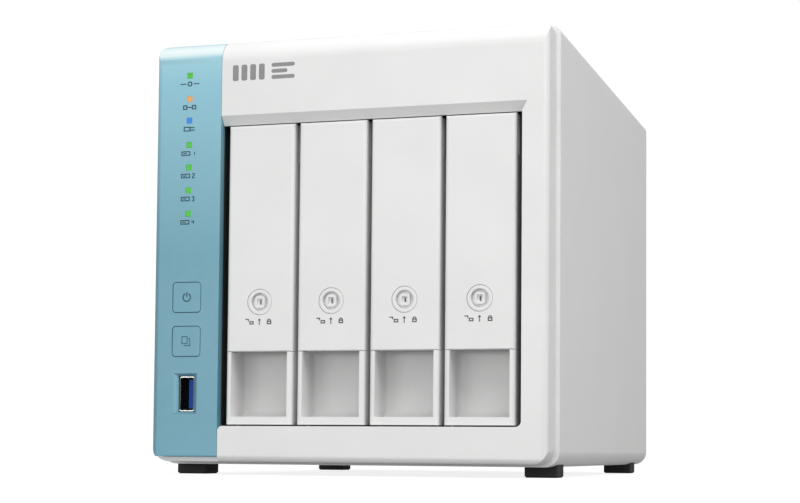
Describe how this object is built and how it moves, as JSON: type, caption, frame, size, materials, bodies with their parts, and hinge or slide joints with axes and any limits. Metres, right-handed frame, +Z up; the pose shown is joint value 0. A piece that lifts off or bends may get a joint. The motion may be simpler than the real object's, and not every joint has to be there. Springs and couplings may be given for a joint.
{
  "type": "network storage enclosure",
  "caption": "Desktop network storage enclosure with pull-out drive trays, hinged tray levers, key locks, a control strip with lights and buttons, and a rear fan.",
  "frame": {"origin": "centre of the footprint on the surface that the feet stand on", "axes": "+X to the right seen from the front, +Y from the front to the back, +Z up"},
  "size_m": [0.16, 0.219, 0.169],
  "materials": {
    "painted_steel": "fine satin powder coat",
    "grey_steel": "zinc plated",
    "zinc_steel": "zinc plated",
    "white_plastic": "fine satin moulding",
    "blue_green_plastic": "satin, lightly metallic",
    "green_light": "frosted light pipe",
    "amber_light": "frosted light pipe",
    "blue_light": "frosted light pipe",
    "circuit_board": "solder mask",
    "black_plastic": "moulded",
    "fan_plastic": "moulded",
    "grey_plastic": "moulded",
    "blue_plastic": "moulded",
    "plated_steel": "nickel plated",
    "black_steel": "black zinc",
    "brass": "turned",
    "aluminium": "satin",
    "black_rubber": "matt"
  },
  "bodies": {
    "chassis": {"outer_cover": "painted_steel", "base_pan": "grey_steel", "cage_left_wall": "zinc_steel", "cage_right_wall": "zinc_steel", "cage_floor": "zinc_steel", "cage_roof": "zinc_steel", "rear_panel": "painted_steel", "bay_liner": "black_plastic", "front_bezel": "white_plastic", "accent_panel": "blue_green_plastic", "status_light": "green_light", "lan_light": "amber_light", "usb_light": "blue_light", "drive_lights": "green_light", "front_board": "circuit_board", "front_switches": "black_plastic", "front_usb_shell": "plated_steel", "front_usb_tongue": "blue_plastic", "feet": "black_rubber", "backplane_board": "circuit_board", "backplane_sockets": "black_plastic", "backplane_slot": "black_plastic", "main_board": "circuit_board", "board_chips": "black_plastic", "cpu_heatsink": "aluminium", "coin_cell": "plated_steel", "buzzer": "black_plastic", "lan_ports": "plated_steel", "rear_usb_shells": "plated_steel", "rear_usb_tongues": "blue_plastic", "dc_jack": "black_plastic", "fan_frame": "fan_plastic", "fan_screws": "black_steel", "cover_screws": "plated_steel", "board_standoffs": "brass", "inner_screws": "plated_steel"},
    "power_button": {"power_button": "blue_green_plastic"},
    "copy_button": {"copy_button": "blue_green_plastic"},
    "reset_button": {"reset_button": "black_plastic"},
    "fan": {"fan_rotor": "fan_plastic"},
    "tray_1": {"tray_1": "white_plastic", "drive_clips_1": "grey_plastic"},
    "lever_1": {"tray_lever_1": "white_plastic", "lock_ring_1": "white_plastic"},
    "lock_1": {"lock_plug_1": "white_plastic"},
    "tray_2": {"tray_2": "white_plastic", "drive_clips_2": "grey_plastic"},
    "lever_2": {"tray_lever_2": "white_plastic", "lock_ring_2": "white_plastic"},
    "lock_2": {"lock_plug_2": "white_plastic"},
    "tray_3": {"tray_3": "white_plastic", "drive_clips_3": "grey_plastic"},
    "lever_3": {"tray_lever_3": "white_plastic", "lock_ring_3": "white_plastic"},
    "lock_3": {"lock_plug_3": "white_plastic"},
    "tray_4": {"tray_4": "white_plastic", "drive_clips_4": "grey_plastic"},
    "lever_4": {"tray_lever_4": "white_plastic", "lock_ring_4": "white_plastic"},
    "lock_4": {"lock_plug_4": "white_plastic"}
  },
  "joints": [
    {"name": "tray_1_slide", "type": "slide", "parent": "chassis", "child": "tray_1", "axis": [0, -1, 0], "range_m": [0, 0.15]},
    {"name": "lever_1_hinge", "type": "hinge", "parent": "tray_1", "child": "lever_1", "pos_m": [-0.0346, -0.105, 0.1318], "axis": [-1, 0, 0], "range_deg": [0, 45]},
    {"name": "lock_1_turn", "type": "hinge", "parent": "lever_1", "child": "lock_1", "pos_m": [-0.0346, -0.108, 0.0662], "axis": [0, 1, 0], "range_deg": [0, 90]},
    {"name": "tray_2_slide", "type": "slide", "parent": "chassis", "child": "tray_2", "axis": [0, -1, 0], "range_m": [0, 0.15]},
    {"name": "lever_2_hinge", "type": "hinge", "parent": "tray_2", "child": "lever_2", "pos_m": [-0.0056, -0.105, 0.1318], "axis": [-1, 0, 0], "range_deg": [0, 45]},
    {"name": "lock_2_turn", "type": "hinge", "parent": "lever_2", "child": "lock_2", "pos_m": [-0.0056, -0.108, 0.0662], "axis": [0, 1, 0], "range_deg": [0, 90]},
    {"name": "tray_3_slide", "type": "slide", "parent": "chassis", "child": "tray_3", "axis": [0, -1, 0], "range_m": [0, 0.15]},
    {"name": "lever_3_hinge", "type": "hinge", "parent": "tray_3", "child": "lever_3", "pos_m": [0.0234, -0.105, 0.1318], "axis": [-1, 0, 0], "range_deg": [0, 45]},
    {"name": "lock_3_turn", "type": "hinge", "parent": "lever_3", "child": "lock_3", "pos_m": [0.0234, -0.108, 0.0662], "axis": [0, 1, 0], "range_deg": [0, 90]},
    {"name": "tray_4_slide", "type": "slide", "parent": "chassis", "child": "tray_4", "axis": [0, -1, 0], "range_m": [0, 0.15]},
    {"name": "lever_4_hinge", "type": "hinge", "parent": "tray_4", "child": "lever_4", "pos_m": [0.0524, -0.105, 0.1318], "axis": [-1, 0, 0], "range_deg": [0, 45]},
    {"name": "lock_4_turn", "type": "hinge", "parent": "lever_4", "child": "lock_4", "pos_m": [0.0524, -0.108, 0.0662], "axis": [0, 1, 0], "range_deg": [0, 90]},
    {"name": "power_button_press", "type": "slide", "parent": "chassis", "child": "power_button", "axis": [0, 1, 0], "range_m": [0, 0.0008], "stiffness_N_per_m": 1500},
    {"name": "copy_button_press", "type": "slide", "parent": "chassis", "child": "copy_button", "axis": [0, 1, 0], "range_m": [0, 0.0008], "stiffness_N_per_m": 1500},
    {"name": "reset_button_press", "type": "slide", "parent": "chassis", "child": "reset_button", "axis": [0, -1, 0], "range_m": [0, 0.0005], "stiffness_N_per_m": 1500},
    {"name": "fan_spin", "type": "hinge", "parent": "chassis", "child": "fan", "pos_m": [0.009, 0.094, 0.0771], "axis": [0, 1, 0], "continuous": true}
  ]
}
